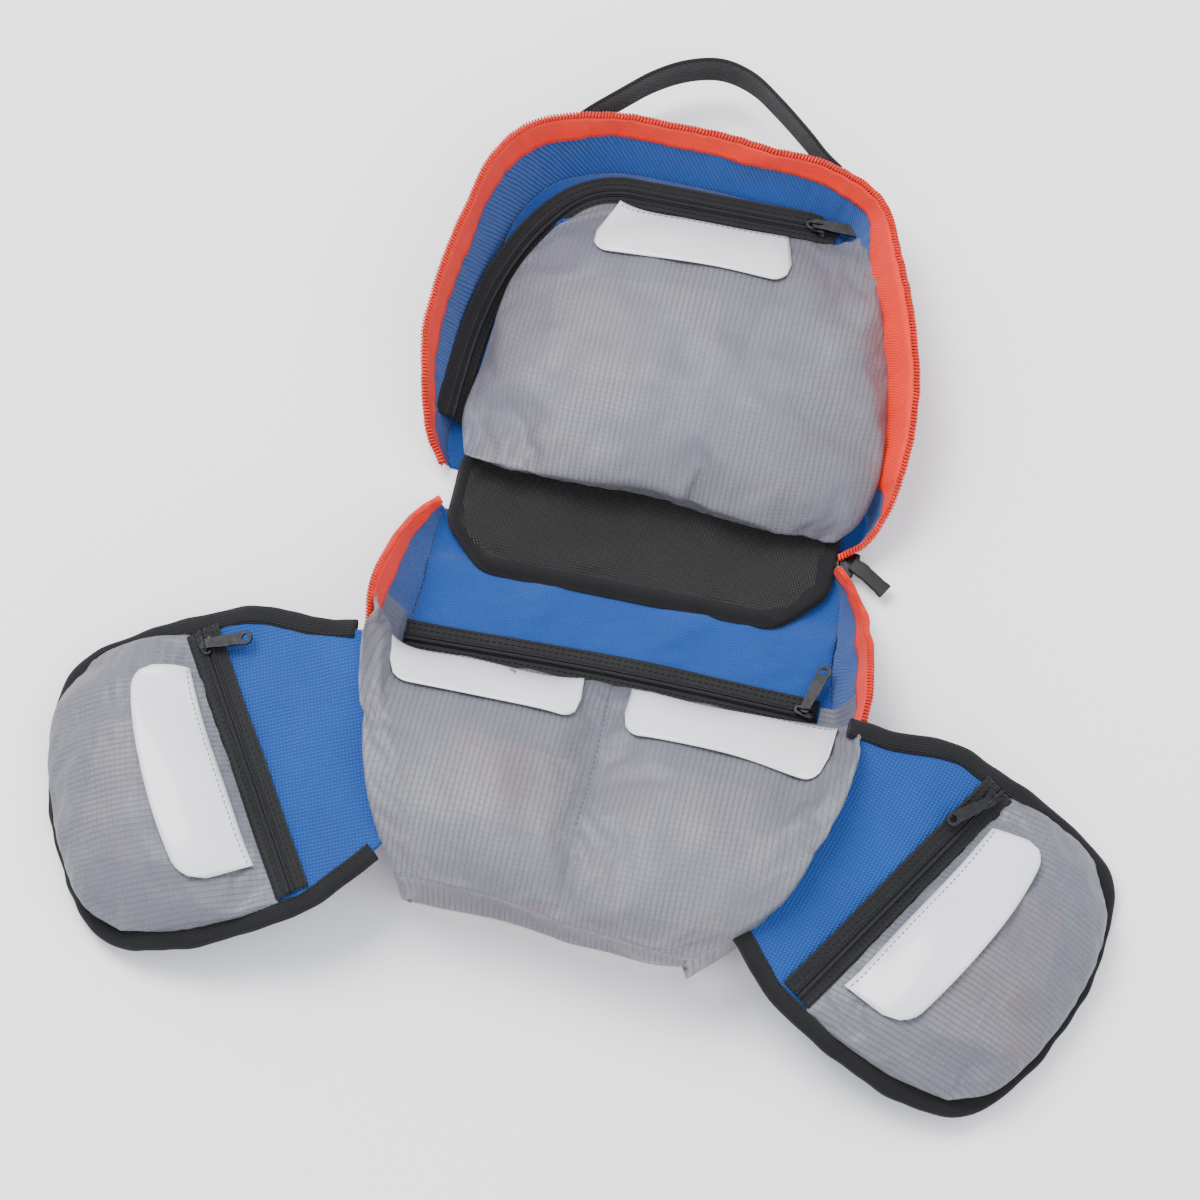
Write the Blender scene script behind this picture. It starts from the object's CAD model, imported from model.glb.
import math

import bpy
import numpy as np
from mathutils import Matrix, Vector


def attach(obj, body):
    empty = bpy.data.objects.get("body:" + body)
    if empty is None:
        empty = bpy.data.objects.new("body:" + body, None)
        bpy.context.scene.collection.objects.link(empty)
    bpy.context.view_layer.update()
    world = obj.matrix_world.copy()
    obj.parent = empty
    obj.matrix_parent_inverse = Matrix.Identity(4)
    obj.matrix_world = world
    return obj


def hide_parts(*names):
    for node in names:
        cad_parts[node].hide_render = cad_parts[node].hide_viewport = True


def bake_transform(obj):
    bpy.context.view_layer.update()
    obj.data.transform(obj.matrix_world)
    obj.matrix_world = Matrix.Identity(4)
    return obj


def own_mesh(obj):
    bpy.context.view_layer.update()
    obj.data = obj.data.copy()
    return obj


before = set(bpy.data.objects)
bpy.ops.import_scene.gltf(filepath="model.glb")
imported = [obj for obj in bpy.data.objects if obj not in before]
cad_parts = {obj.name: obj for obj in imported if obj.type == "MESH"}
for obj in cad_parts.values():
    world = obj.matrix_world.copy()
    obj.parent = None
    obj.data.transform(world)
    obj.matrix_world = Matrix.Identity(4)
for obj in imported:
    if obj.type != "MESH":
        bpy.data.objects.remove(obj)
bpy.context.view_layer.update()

MM = 0.001

# %% [markdown]
# The bag lies open on a table and the camera looks down at it from a chair's height.
# A long lens far away keeps the bag's proportions nearly as on a plan. The camera comes
# first, so that every piece made after it can be judged through it.

# %% Camera
AZIMUTH, ELEVATION = math.radians(12), math.radians(68)
DISTANCE, VIEW_WIDTH = 1.8, 0.5106
back = Vector((
    math.sin(AZIMUTH) * math.cos(ELEVATION),
    -math.cos(AZIMUTH) * math.cos(ELEVATION),
    math.sin(ELEVATION),
))
right = Vector((math.cos(AZIMUTH), math.sin(AZIMUTH), 0))
above = back.cross(right)
aim = Vector((0, 0, 0.003)) - 0.0187 * right - 0.0311 * above
lens = bpy.data.cameras.new("camera")
lens.sensor_width = 36.0
lens.lens = lens.sensor_width * DISTANCE / VIEW_WIDTH
camera = bpy.data.objects.new("camera", lens)
camera.matrix_world = Matrix.Translation(aim + DISTANCE * back) @ Matrix(
    (right, above, back)
).transposed().to_4x4()
bpy.context.scene.collection.objects.link(camera)
bpy.context.scene.camera = camera
print("camera at", [round(c, 3) for c in camera.location], "lens", round(lens.lens, 1))

# %% [markdown]
# Nearly every piece of this bag is a sheet: a grid of points in rows and columns. The
# helpers below turn such a grid into a mesh and write each point's place on the flat
# cloth into the UV map, in metres, so that a weave keeps its real scale on every piece.
# They also turn the faces outwards: by volume on a closed shape, and by direction on a sheet.

# %% From a grid of points to a mesh
def spans(grid, axis):
    """Distance run along a grid's rows (axis 0) or columns (axis 1), from its first line."""
    steps = np.linalg.norm(np.diff(grid, axis=axis), axis=2)
    pad = [(0, 0), (0, 0)]
    pad[axis] = (1, 0)
    return np.pad(np.cumsum(steps, axis=axis), pad)


def quads(rows, columns, wrap_rows=False, wrap_columns=False):
    """The four corners of each cell of a grid, as numbers of its points."""
    r = np.arange(rows if wrap_rows else rows - 1)[:, None]
    c = np.arange(columns if wrap_columns else columns - 1)[None, :]
    below, beside = (r + 1) % rows, (c + 1) % columns
    cell = [r * columns + c, r * columns + beside, below * columns + beside, below * columns + c]
    return np.stack([np.broadcast_to(k, np.broadcast(r, c).shape) for k in cell], axis=-1).reshape(-1, 4)


def facing(points, faces, up):
    """True if the faces look outwards: a closed shape's volume, or a sheet's mean normal
    along up, is above zero."""
    a, b, c, d = (points[faces[:, k]] for k in range(4))
    normal = np.cross(c - a, d - b)
    if up is None:
        return np.einsum("ij,ij->", normal, (a + b + c + d) / 4 - points.mean(axis=0)) > 0
    return (normal @ np.asarray(up, float)).sum() > 0


def new_object(name, points, faces, finish, flat=None):
    """A smooth mesh object from points in millimetres, with a UV map where flat gives one."""
    mesh = bpy.data.meshes.new(name)
    mesh.from_pydata((points * MM).tolist(), [], faces.tolist())
    if flat is not None:
        layer = mesh.uv_layers.new(name="UVMap")
        layer.data.foreach_set("uv", (flat.reshape(-1, 2)[faces.reshape(-1)] * MM).ravel())
    mesh.shade_smooth()
    mesh.materials.append(finish)
    obj = bpy.data.objects.new(name, mesh)
    bpy.context.scene.collection.objects.link(obj)
    return obj


def grid_object(name, grid, finish, up=(0, 0, 1), flat=None, wrap_rows=False, wrap_columns=False):
    """A smooth mesh from a grid in millimetres. flat holds its UV as (u, v) in millimetres."""
    rows, columns = grid.shape[:2]
    points = grid.reshape(-1, 3)
    faces = quads(rows, columns, wrap_rows, wrap_columns)
    if not facing(points, faces, up):
        faces = faces[:, ::-1]
    if flat is None:
        flat = np.stack([spans(grid, 1), spans(grid, 0)], axis=-1)
    return new_object(name, points, faces, finish, flat)


# %% Paths and random relief
def even(path, count):
    """The path again, as count points spaced evenly along it."""
    path = np.asarray(path, float)
    along = np.concatenate([[0.0], np.cumsum(np.linalg.norm(np.diff(path, axis=0), axis=1))])
    want = np.linspace(0, along[-1], count)
    return np.column_stack([np.interp(want, along, path[:, k]) for k in range(path.shape[1])])


def curve(points, count):
    """A Catmull-Rom curve through the points: each span is a cubic that leaves a point
    along the line between that point's two neighbours. Evenly spaced again afterwards."""
    p = np.asarray(points, float)
    p = np.vstack([2 * p[0] - p[1], p, 2 * p[-1] - p[-2]])
    a, b, c, d = (p[k:len(p) - 3 + k, None, :] for k in range(4))
    t = np.linspace(0, 1, 20, endpoint=False)[None, :, None]
    run = b + 0.5 * t * (c - a) + t**2 * (a - 2.5 * b + 2 * c - 0.5 * d)
    run = run + t**3 * (-0.5 * a + 1.5 * b - 1.5 * c + 0.5 * d)
    return even(np.vstack([run.reshape(-1, p.shape[1]), p[-2]]), count)


def directions(path):
    """Unit directions along a path, from the differences between its points."""
    run = np.gradient(np.asarray(path, float), axis=0)
    return run / np.linalg.norm(run, axis=1)[:, None]


def beside(path, distance):
    """A path moved level to its left by a distance, one number or one for each point."""
    run = directions(path[:, :2])
    moved = np.array(path, float)
    moved[:, 0] -= run[:, 1] * distance
    moved[:, 1] += run[:, 0] * distance
    return moved


def ease(x):
    """0 below 0, 1 above 1, and between them 3x^2 - 2x^3."""
    x = np.clip(x, 0, 1)
    return x * x * (3 - 2 * x)


def relief(x, y, size, seed, waves=8):
    """Soft random hills about 1 high: the mean of sine waves whose length is near size
    and whose directions and phases come from the seed."""
    angle, phase, length = np.random.default_rng(seed).uniform(0, 1, (3, waves))
    x, y = np.asarray(x, float)[..., None], np.asarray(y, float)[..., None]
    turn = 2 * np.pi * angle
    along = x * np.cos(turn) + y * np.sin(turn)
    wave = np.sin(2 * np.pi * (along / (size * (0.6 + 0.9 * length)) + phase))
    return wave.sum(axis=-1) / math.sqrt(waves)


# %% [markdown]
# A material is a graph of nodes. Written as plain arithmetic it is much easier to read
# than as a list of nodes and links, so a small class wraps a node's output and adds a
# Math node for each operator. Every other node comes from one method that takes its
# type, its settings and its sockets, in that order.

# %% Shader arithmetic
class Wire:
    """A value in a material's graph, on which + - * / and powers add Math nodes."""

    def __init__(self, finish, socket):
        self.finish, self.socket = finish, socket

    def of(self, operation, *others):
        return self.finish.sum_node(operation, self, *others)

    def __add__(self, other):
        return self.of("ADD", other)

    def __sub__(self, other):
        return self.of("SUBTRACT", other)

    def __rsub__(self, other):
        return self.finish.sum_node("SUBTRACT", other, self)

    def __mul__(self, other):
        return self.of("MULTIPLY", other)

    def __pow__(self, other):
        return self.of("POWER", other)

    __radd__, __rmul__ = __add__, __mul__

    def wave(self, pitch):
        """0 to 1 and back over each pitch: half of one plus a sine."""
        return (self * (2 * math.pi / pitch)).of("SINE") * 0.5 + 0.5

    def between(self, low, high):
        """0 below low and 1 above high, with a soft step between."""
        sockets = {"Value": self, "From Min": low, "From Max": high}
        return self.finish.node("ShaderNodeMapRange", {"interpolation_type": "SMOOTHSTEP"}, sockets)


class Finish:
    """A material being made: the shader's constants are set first, the rest is linked."""

    def __init__(self, name, **constants):
        self.material = bpy.data.materials.new(name)
        self.material.use_nodes = True
        self.tree = self.material.node_tree
        self.shader = self.tree.nodes["Principled BSDF"]
        for socket, value in constants.items():
            self.shader.inputs[socket.replace("_", " ")].default_value = value

    def node(self, kind, settings, sockets, output=0):
        """A node of that kind: its settings are set first, then its sockets' values or links."""
        made = self.tree.nodes.new(kind)
        for setting, value in settings.items():
            setattr(made, setting, value)
        for socket, value in sockets.items():
            self.fill(made.inputs[socket], value)
        return Wire(self, made.outputs[output])

    def fill(self, socket, value):
        if isinstance(value, Wire):
            self.tree.links.new(value.socket, socket)
        else:
            socket.default_value = value

    def sum_node(self, operation, *values):
        return self.node("ShaderNodeMath", {"operation": operation}, dict(enumerate(values)))

    def flat(self):
        """The place on the flat cloth as (u, v), in millimetres."""
        place = self.node("ShaderNodeUVMap", {"uv_map": "UVMap"}, {})
        axes = [self.node("ShaderNodeSeparateXYZ", {}, {0: place}, output=k) for k in (0, 1)]
        return [axis * (1 / MM) for axis in axes]

    def noise(self, size, detail=2.0):
        """Cloudy values from 0 to 1 with blobs of about size millimetres, in the piece's own space."""
        place = self.node("ShaderNodeTexCoord", {}, {}, output=3)
        sockets = {"Vector": place, "Scale": 1 / (size * MM), "Detail": detail, "Roughness": 0.5}
        return self.node("ShaderNodeTexNoise", {"noise_dimensions": "3D"}, sockets)

    def colour(self, low, high, mask):
        """low where the mask is 0 and high where it is 1."""
        sockets = {0: mask, 6: low, 7: high}
        return self.node("ShaderNodeMix", {"data_type": "RGBA"}, sockets, output=2)

    def relief(self, height, depth):
        """Turns a height from 0 to 1 into surface relief that is depth millimetres deep."""
        sockets = {"Height": height, "Distance": depth * MM, "Strength": 1.0}
        self.fill(self.shader.inputs["Normal"], self.node("ShaderNodeBump", {}, sockets))

    def link(self, **sockets):
        """Sets or links the shader's own sockets, and returns the finished material."""
        for socket, value in sockets.items():
            self.fill(self.shader.inputs[socket.replace("_", " ")], value)
        return self.material


def paint(red, green, blue):
    """A colour given in the 0 to 255 steps of a colour picker, as linear light."""
    steps = np.array([red, green, blue]) / 255
    linear = np.where(steps <= 0.04045, steps / 12.92, ((steps + 0.055) / 1.055) ** 2.4)
    return (*linear.tolist(), 1.0)


# %% [markdown]
# The trays and the wings are lined with a heavy blue polyester. It is woven with small
# raised dots: fine ones in slanting rows on the trays, and coarser ones on the wings.
# Two crossed waves make the dots, and the same value drives relief, colour and gloss,
# because on real cloth the raised threads are lighter and the gaps between them dark.

# %% Blue pack cloth
def pack_cloth(name, pitch, depth, slant):
    """Blue cloth whose relief is the product of two waves, pitch millimetres apart."""
    made = Finish(name, Sheen_Weight=0.25, Sheen_Roughness=0.4, Specular_IOR_Level=0.35)
    u, v = made.flat()
    first, second = u + v * slant, v - u * slant
    dots = first.wave(pitch) * second.wave(pitch)
    clouds = made.noise(30.0)
    tone = made.colour(paint(2, 50, 118), paint(14, 86, 170), dots * 0.75 + clouds * 0.35)
    made.relief(dots, depth)
    return made.link(Base_Color=tone, Roughness=0.8 - dots * 0.2)


tray_blue = pack_cloth("tray_blue", 1.15, 0.35, 0.6)
wing_blue = pack_cloth("wing_blue", 1.5, 0.5, 0.0)

# %% [markdown]
# The pockets are thin grey nylon. Ripstop has a thicker thread every few millimetres,
# which shows as fine lines. The cloth is thin enough for whatever lies right under it to
# shine through as a pale ghost, so its alpha is a little below 1, and lower between the
# lines than on them.

# %% Ripstop
def ripstop(name, rib, cross):
    """Grey see-through nylon: a rib line each rib millimetres and fainter ones across."""
    made = Finish(name, Sheen_Weight=0.12, Specular_IOR_Level=0.5, Coat_Weight=0.12)
    made.shader.inputs["Coat Roughness"].default_value = 0.35
    u, v = made.flat()
    lines = u.wave(rib) ** 6.0
    across = v.wave(cross) ** 8.0
    clouds = made.noise(45.0, detail=3.0)
    tone = made.colour(paint(130, 129, 136), paint(74, 74, 84), lines * 0.75 + across * 0.2)
    tone = made.colour(tone, paint(104, 108, 122), clouds.between(0.35, 0.75) * 0.5)
    threads = u.wave(0.5) * v.wave(0.5)
    made.relief(lines * 0.7 + across * 0.4 + threads * 0.2, 0.16)
    see = 0.54 + lines * 0.24 + across * 0.07
    return made.link(Base_Color=tone, Roughness=0.36 + clouds * 0.16, Alpha=see)


pocket_cloth = ripstop("pocket_cloth", 2.3, 2.3)

# %% [markdown]
# The zips, their tapes, the bindings and the pad are black but far from alike. The
# tapes have fine ribs across, the binding is a duller grosgrain, the pad a coarse
# glossy weave, and the webbing has a herring-bone of thick yarns.

# %% Tapes, bindings, pad and webbing
def ribbed(name, dark, light, rib, depth, rough, slant=0.0, shine=0.3):
    """Tape whose ribs run across it: one wave along u, bent by slant times v."""
    made = Finish(name, Sheen_Weight=shine, Sheen_Roughness=0.35, Specular_IOR_Level=0.35)
    u, v = made.flat()
    ribs = (u + v * slant).wave(rib)
    yarn = v.wave(rib * 0.8)
    wear = made.noise(18.0, detail=4.0)
    tone = made.colour(paint(*dark), paint(*light), ribs * 0.45 + yarn * 0.2 + wear * 0.4)
    made.relief(ribs * 0.7 + yarn * 0.4, depth)
    return made.link(Base_Color=tone, Roughness=rough - wear * 0.15)


zip_black = ribbed("zip_black", (3, 3, 4), (24, 24, 27), 0.9, 0.18, 0.75, shine=0.1)
binding_black = ribbed("binding_black", (3, 3, 4), (22, 22, 25), 1.1, 0.3, 0.9, shine=0.06)
webbing_black = ribbed("webbing_black", (3, 3, 4), (28, 28, 31), 1.6, 0.5, 0.8, slant=0.9, shine=0.08)
pad_black = ribbed("pad_black", (4, 4, 5), (34, 33, 33), 1.3, 0.45, 0.55, slant=0.5, shine=0.15)
chain_black = ribbed("chain_black", (3, 3, 4), (26, 26, 29), 1.2, 0.5, 0.5, shine=0.05)
orange_tape = ribbed("orange_tape", (226, 26, 8), (250, 54, 24), 1.2, 0.25, 0.6, slant=0.3, shine=0.1)

# %% [markdown]
# The small parts are plainer: a coloured chain, clear film over blank paper, cast metal,
# and thread. Slow noise drifts their colour and gloss a little, as handling does.

# %% Orange chain, label film, metal and thread
orange_chain = ribbed("orange_chain", (230, 30, 10), (252, 62, 30), 1.4, 0.2, 0.5, shine=0.1)


def plain(name, low, high, size, rough, depth=0.1, **constants):
    """A finish whose colour and gloss drift softly between two values."""
    made = Finish(name, **constants)
    clouds = made.noise(size, detail=4.0)
    made.relief(clouds, depth)
    return made.link(
        Base_Color=made.colour(paint(*low), paint(*high), clouds), Roughness=rough + clouds * 0.15
    )


label_film = plain("label_film", (214, 215, 218), (224, 224, 227), 25.0, 0.3, 0.3, Coat_Weight=0.3)
gunmetal = plain("gunmetal", (26, 26, 28), (60, 60, 62), 3.0, 0.28, 0.05, Metallic=0.85)
cord_black = plain("cord_black", (4, 4, 5), (22, 22, 24), 2.0, 0.6, 0.2)
thread_grey = plain("thread_grey", (74, 74, 82), (104, 104, 112), 2.0, 0.7)
thread_black = plain("thread_black", (5, 5, 6), (34, 34, 38), 2.0, 0.7)
shell_blue = pack_cloth("shell_blue", 1.0, 0.3, 0.6)


# %% [markdown]
# Supplies lie in the pockets: dressings, wipes and a folded guide. Only their colours
# show through the nylon, so each wrapper is printed with soft blocks of colour and no
# lettering. The blocks are noise cut off at a level, which gives the broken, faded edge
# that print has behind cloth.

# %% Wrappers
def wrapper(name, ground, print_colour, size, level):
    """Paper or foil with blotches of a second colour where a noise is above a level."""
    made = Finish(name, Specular_IOR_Level=0.4)
    blocks = made.noise(size, detail=1.0).between(level, level + 0.08)
    crumple = made.noise(9.0, detail=3.0)
    made.relief(crumple, 0.8)
    tone = made.colour(paint(*ground), paint(*print_colour), blocks)
    return made.link(Base_Color=tone, Roughness=0.45 + crumple * 0.2)


wrap_red = wrapper("wrap_red", (226, 196, 190), (214, 70, 52), 26.0, 0.45)
wrap_pink = wrapper("wrap_pink", (214, 206, 204), (222, 150, 150), 30.0, 0.5)
wrap_teal = wrapper("wrap_teal", (170, 190, 196), (60, 140, 168), 18.0, 0.5)
wrap_paper = wrapper("wrap_paper", (206, 202, 200), (206, 160, 150), 34.0, 0.56)

# %% [markdown]
# Each finished piece is hung on the body that it moves with. Where cloth crosses a fold,
# one end follows one body and the other end its neighbour, and the cloth between turns
# smoothly. Sheets are also declared with the size that they would be cut to.

# %% Hanging pieces on the bodies
def follow(obj, body):
    """body is a name, or (body, next body, start, end) for cloth that crosses a fold."""
    if isinstance(body, str):
        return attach(obj, body)
    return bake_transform(obj)


def hang(obj, body, stands_for=()):
    """Hangs a piece on its body, names its colour slot and the hard nodes that it stands for."""
    follow(obj, body)
    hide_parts(*stands_for)
    return obj


def cut_size(grid):
    """The flat cut of a grid: its mean width and length and its own area, in metres."""
    width, length = (spans(grid, k).max(axis=k).mean() for k in (0, 1))
    a, b, c, d = grid[:-1, :-1], grid[:-1, 1:], grid[1:, 1:], grid[1:, :-1]
    area = 0.5 * np.linalg.norm(np.cross(c - a, d - b), axis=2).sum()
    width, length = max(width, 10.05) * MM, max(length, 10.05) * MM
    return (width, length), float(np.clip(area * MM * MM, 0.301 * width * length, width * length))


def sheet(name, grid, finish, thick, held, body, slot, stands_for=(), rests_on=(), levels=0, **mesh):
    """A sheet of cloth of even thickness under the grid, hung on its body and declared."""
    obj = grid_object(name, grid, finish, **mesh)
    wall = obj.modifiers.new("thickness", "SOLIDIFY")
    wall.thickness, wall.offset = thick * MM, -1.0
    if levels:
        smooth = obj.modifiers.new("smooth", "SUBSURF")
        smooth.levels = smooth.render_levels = levels
    hang(obj, body, stands_for)
    flat, area = cut_size(grid)
    print(f"{obj.name}: {len(obj.data.vertices)} points, cut {flat[0] / MM:.0f} x {flat[1] / MM:.0f} mm")
    return obj


# %% [markdown]
# A zip's chain, a binding and a rolled edge are all one small profile carried along a
# path. The profile is drawn across the path's direction, with its first axis level and
# its second one up, so a flat path gives a level tape and a climbing one leans with it.

# %% A profile along a path
def sweep(path, profile, up=(0, 0, 1)):
    """Grid of path x profile points: place + side * x + top * y, where side is the path's
    direction crossed with up, and top is side crossed with the direction."""
    run = directions(path)
    side = np.cross(run, np.broadcast_to(np.asarray(up, float), run.shape))
    side /= np.linalg.norm(side, axis=1)[:, None]
    top = np.cross(side, run)
    profile = np.broadcast_to(profile, (len(path), *np.shape(profile)[-2:]))
    return path[:, None] + side[:, None] * profile[..., :1] + top[:, None] * profile[..., 1:]


def closed_ends(grid):
    """The grid of a tube with its two ends drawn together to points."""
    first, last = grid[:1].mean(axis=1, keepdims=True), grid[-1:].mean(axis=1, keepdims=True)
    return np.concatenate([first + 0 * grid[:1], grid, last + 0 * grid[-1:]])


def oval(width, height, count=10, power=1.0):
    """Points round a superellipse: |cos|^power and |sin|^power of even angles, signed."""
    a = np.linspace(0, 2 * np.pi, count, endpoint=False)
    c, s = np.cos(a), np.sin(a)
    x, y = np.sign(c) * np.abs(c) ** power, np.sign(s) * np.abs(s) ** power
    return np.column_stack([x * width / 2, y * height / 2])


def tube(name, path, profile, finish, body, stands_for=(), up=(0, 0, 1)):
    """A closed tube with that profile, from one end of the path to the other."""
    grid = closed_ends(sweep(path, profile, up))
    obj = grid_object(name, grid, finish, up=None, wrap_columns=True)
    return hang(obj, body, stands_for)


def coil(name, path, pitch, width, height, wire, body, stands_for=()):
    """A zip's coil of teeth: an oval helix round the path, with a thin round wire."""
    length = np.linalg.norm(np.diff(path, axis=0), axis=1).sum()
    turns = int(length / pitch)
    path = even(path, turns * 9 + 1)
    angle = 2 * np.pi * np.arange(len(path)) / 9
    ring = np.stack([np.cos(angle) * width / 2, np.sin(angle) * height / 2], axis=-1)[:, None]
    helix = sweep(path, ring)[:, 0]
    print(f"{name}: {turns} teeth")
    return tube(name, helix, oval(wire, wire, 5), orange_chain, body, stands_for)


# %% [markdown]
# Stitching is what tells the eye how the bag is put together. Each stitch is a tiny
# flattened grain of thread. A whole seam is one mesh: the grain's eight corners are
# repeated at every stitch, so thousands of stitches stay light.

# %% Stitches
def stitches(name, path, normal, finish, body, pitch=2.6, length=1.9, thick=0.45):
    """Eight-cornered grains along a path: place + along * a + across * b + normal * c."""
    total = np.linalg.norm(np.diff(path, axis=0), axis=1).sum()
    place = even(path, max(int(total / pitch), 2))
    run = directions(place)
    up = np.broadcast_to(np.asarray(normal, float), run.shape)
    side = np.cross(run, up)
    side /= np.linalg.norm(side, axis=1)[:, None]
    top = np.cross(side, run)
    a = np.array([-1, -0.6, -0.6, -0.6, -0.6, 0.6, 0.6, 0.6, 0.6, 1]) * length / 2
    b = np.array([0, 1, 0, -1, 0, 1, 0, -1, 0, 0]) * thick / 2
    c = np.array([0, 0, 1, 0, -1, 0, 1, 0, -1, 0]) * thick / 2
    grains = place[:, None] + run[:, None] * a[:, None] + side[:, None] * b[:, None]
    grains = grains + top[:, None] * c[:, None]
    ring = [(1 + k, 1 + (k + 1) % 4) for k in range(4)]
    cell = [(0, q, p) for p, q in ring] + [(9, p + 4, q + 4) for p, q in ring]
    cell += [half for p, q in ring for half in ((p, q, q + 4), (p, q + 4, p + 4))]
    faces = np.array(cell)[None] + np.arange(len(place))[:, None, None] * 10
    points, faces = grains.reshape(-1, 3), faces.reshape(-1, 3)
    a, b, c = (points[faces[:, k]] for k in range(3))
    middle = np.repeat(grains.mean(axis=1), len(cell), axis=0)
    if np.einsum("ij,ij->", np.cross(b - a, c - a), (a + b + c) / 3 - middle) < 0:
        faces = faces[:, ::-1]
    return follow(new_object(name, points, faces, finish), body)


# %% [markdown]
# Base and lid are two trays with soft walls. Each wall is one long strip from the
# floor up to the zip, lower at the far end, where it sags outwards under the load. By
# the hinge it runs down to the end of the spine and crosses the fold, so it bends there.
# The strip is spanned between its rim and its foot, and leans further out near the rim.

# %% The rims
BASE_RIM = [
    (84, -3, 6), (92, -13, 12), (100, -31, 24), (105, -50, 36), (108.5, -72, 41), (107, -95, 39),
    (102, -120, 35), (96, -143, 29), (88, -160, 20), (78, -171, 12), (62, -177, 8), (36, -179, 7.5),
    (0, -179, 7.5), (-32, -178, 7.5), (-50, -174, 8.5), (-64, -167, 13), (-76, -154, 23),
    (-86, -132, 32), (-95, -103, 38), (-101, -72, 41), (-100, -46, 34), (-95, -24, 20), (-88, -7, 7),
]
LID_RIM = [
    (84, 2, 6), (93, 8, 12), (100, 20, 21), (103.5, 38, 30), (103.5, 60, 37), (100, 82, 40),
    (94, 102, 41), (87.5, 121, 40), (79.5, 141, 38), (68, 160, 34), (48, 171, 30), (20, 175, 29),
    (-12, 177, 29), (-42, 177, 30), (-64, 172, 33), (-83, 161, 37), (-96, 141, 40),
    (-102, 112, 41), (-106.5, 72, 41), (-105, 44, 34), (-98, 21, 19), (-90, 9, 8),
]
FLOOR = 3.2
CHAIN = 2.3


def inside_of(rim):
    """How far the wall's foot stands in from the rim: 2 at both ends, 14 along the wall, and
    25 along the lid's right side, which leans further out."""
    x, y = rim[:, 0], rim[:, 1]
    leaning = 11 * ease((x - 40) / 40) * ease((y - 20) / 20) * (1 - ease((y - 120) / 40))
    return 2 + 12 * ease(np.abs(y) / 46) + leaning


def wall(rim, share, seed):
    """The wall at a share of its height: the foot and the rim mixed by share, plus an outward
    bulge of sin(pi share) and small folds that fade out at the foot."""
    inward = inside_of(rim)
    share = np.broadcast_to(share, len(rim))
    foot = beside(rim, inward)
    foot[:, 2] = FLOOR - 2
    point = foot * (1 - share)[:, None] + rim * share[:, None]
    along = spans(rim[None], 1)[0]
    folds = 1.1 * relief(along, 26 * share, 24, seed) + 0.5 * relief(along, 9 * share, 9, seed + 1)
    out = 1.8 * np.sin(np.pi * share) * ease(inward / 12) + folds * share * (1.3 - share)
    return beside(point, -out)


# Both rims run anticlockwise seen from above, so that inwards is to their left.
base_rim, lid_rim = curve(BASE_RIM[::-1], 420), curve(LID_RIM, 420)
print("rims run", [round(np.linalg.norm(np.diff(r, axis=0), axis=1).sum()) for r in (base_rim, lid_rim)])

# %% Walls, tapes and chains of both trays
def fill(path, columns):
    """A sheet spanned inside a U-shaped path: its first half's points joined straight to
    its second half's, in reverse."""
    half = len(path) // 2
    t = np.linspace(0, 1, columns)[None, :, None]
    return path[:half, None] * (1 - t) + path[::-1][:half, None] * t


def tray(name, rim, fold, seed):
    """One tray's wall, its two orange tapes, its chain, its floor panel and its lining."""
    shares = np.array([0.0, 0.1, 0.25, 0.4, 0.55, 0.7, 0.82, 0.93, 0.98])
    wall_grid = np.stack([wall(rim, s, seed) for s in shares])
    sheet(f"{name}_wall", wall_grid, tray_blue, 0.9, "stretched", fold, "blue_fabric",
          [f"{name}_gusset"], levels=1, up=None)
    bands = ((0.8, 0.64 - 0.35 * np.clip(inside_of(rim) - 14, 0, 11) / 11, "inner"), (-1.0, 0.66, "outer"))
    for shift, low, side in bands:
        band = np.stack([beside(wall(rim, low + (1 - low) * s, seed), shift) for s in np.linspace(0, 1, 7)])
        sheet(f"{name}_orange_tape_{side}", band, orange_tape, 0.6, "stretched", fold, "orange_tape",
              [f"{name}_zip_tape"], rests_on=[f"{name}_wall"], up=None)
        seam = beside(wall(rim, low + 0.05, seed), shift * 1.15)
        stitches(f"{name}_rim_stitches_{side}", seam, (0, 0, 1), orange_chain, fold)
    crown = beside(wall(rim, 1.0, seed), -0.2)
    crown[:, 2] += CHAIN * 0.3
    coil(f"{name}_chain", crown, 1.45, CHAIN, CHAIN * 0.8, 1.05, fold,
         [f"{name}_zip_coil"])
    foot = wall(rim, 0.0, seed)
    floor = fill(even(foot[np.abs(foot[:, 1]) > 41], 80), 50)
    floor[..., 2] = 3.0
    panel = grid_object(f"{name}_panel", floor, shell_blue)
    thick = panel.modifiers.new("foam", "SOLIDIFY")
    thick.thickness = 2.7 * MM
    hang(panel, name, [f"{name}_back_panel"])
    lining = fill(even(foot, 170), 90)
    x, y = lining[..., 0], lining[..., 1]
    sewn = np.exp(-((np.abs(y) - 70) / 12) ** 2) if name == "base" else ease((np.abs(y) - 120) / 30)
    pucker = np.maximum(1.1 * relief(x, y, 38, seed + 5) + 0.5 * relief(x, 2.5 * y, 14, seed + 6), -0.4)
    lining[..., 2] = 0.5 + (FLOOR + 0.6 + pucker * (1 - 0.8 * sewn)) * ease((np.abs(y) - 24) / 14)
    sheet(f"{name}_cloth_lining", lining, tray_blue, 0.6, "laid", fold, "blue_fabric",
          [f"{name}_lining"], rests_on=[f"{name}_panel"])


BASE_FOLD = ("base", "spine", (0, -48, 0), (0, -14, 0))
LID_FOLD = ("spine", "lid", (0, 14, 0), (0, 48, 0))
BASE_SEED, LID_SEED = 11, 23
tray("base", base_rim, BASE_FOLD, BASE_SEED)
tray("lid", lid_rim, LID_FOLD, LID_SEED)

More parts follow.
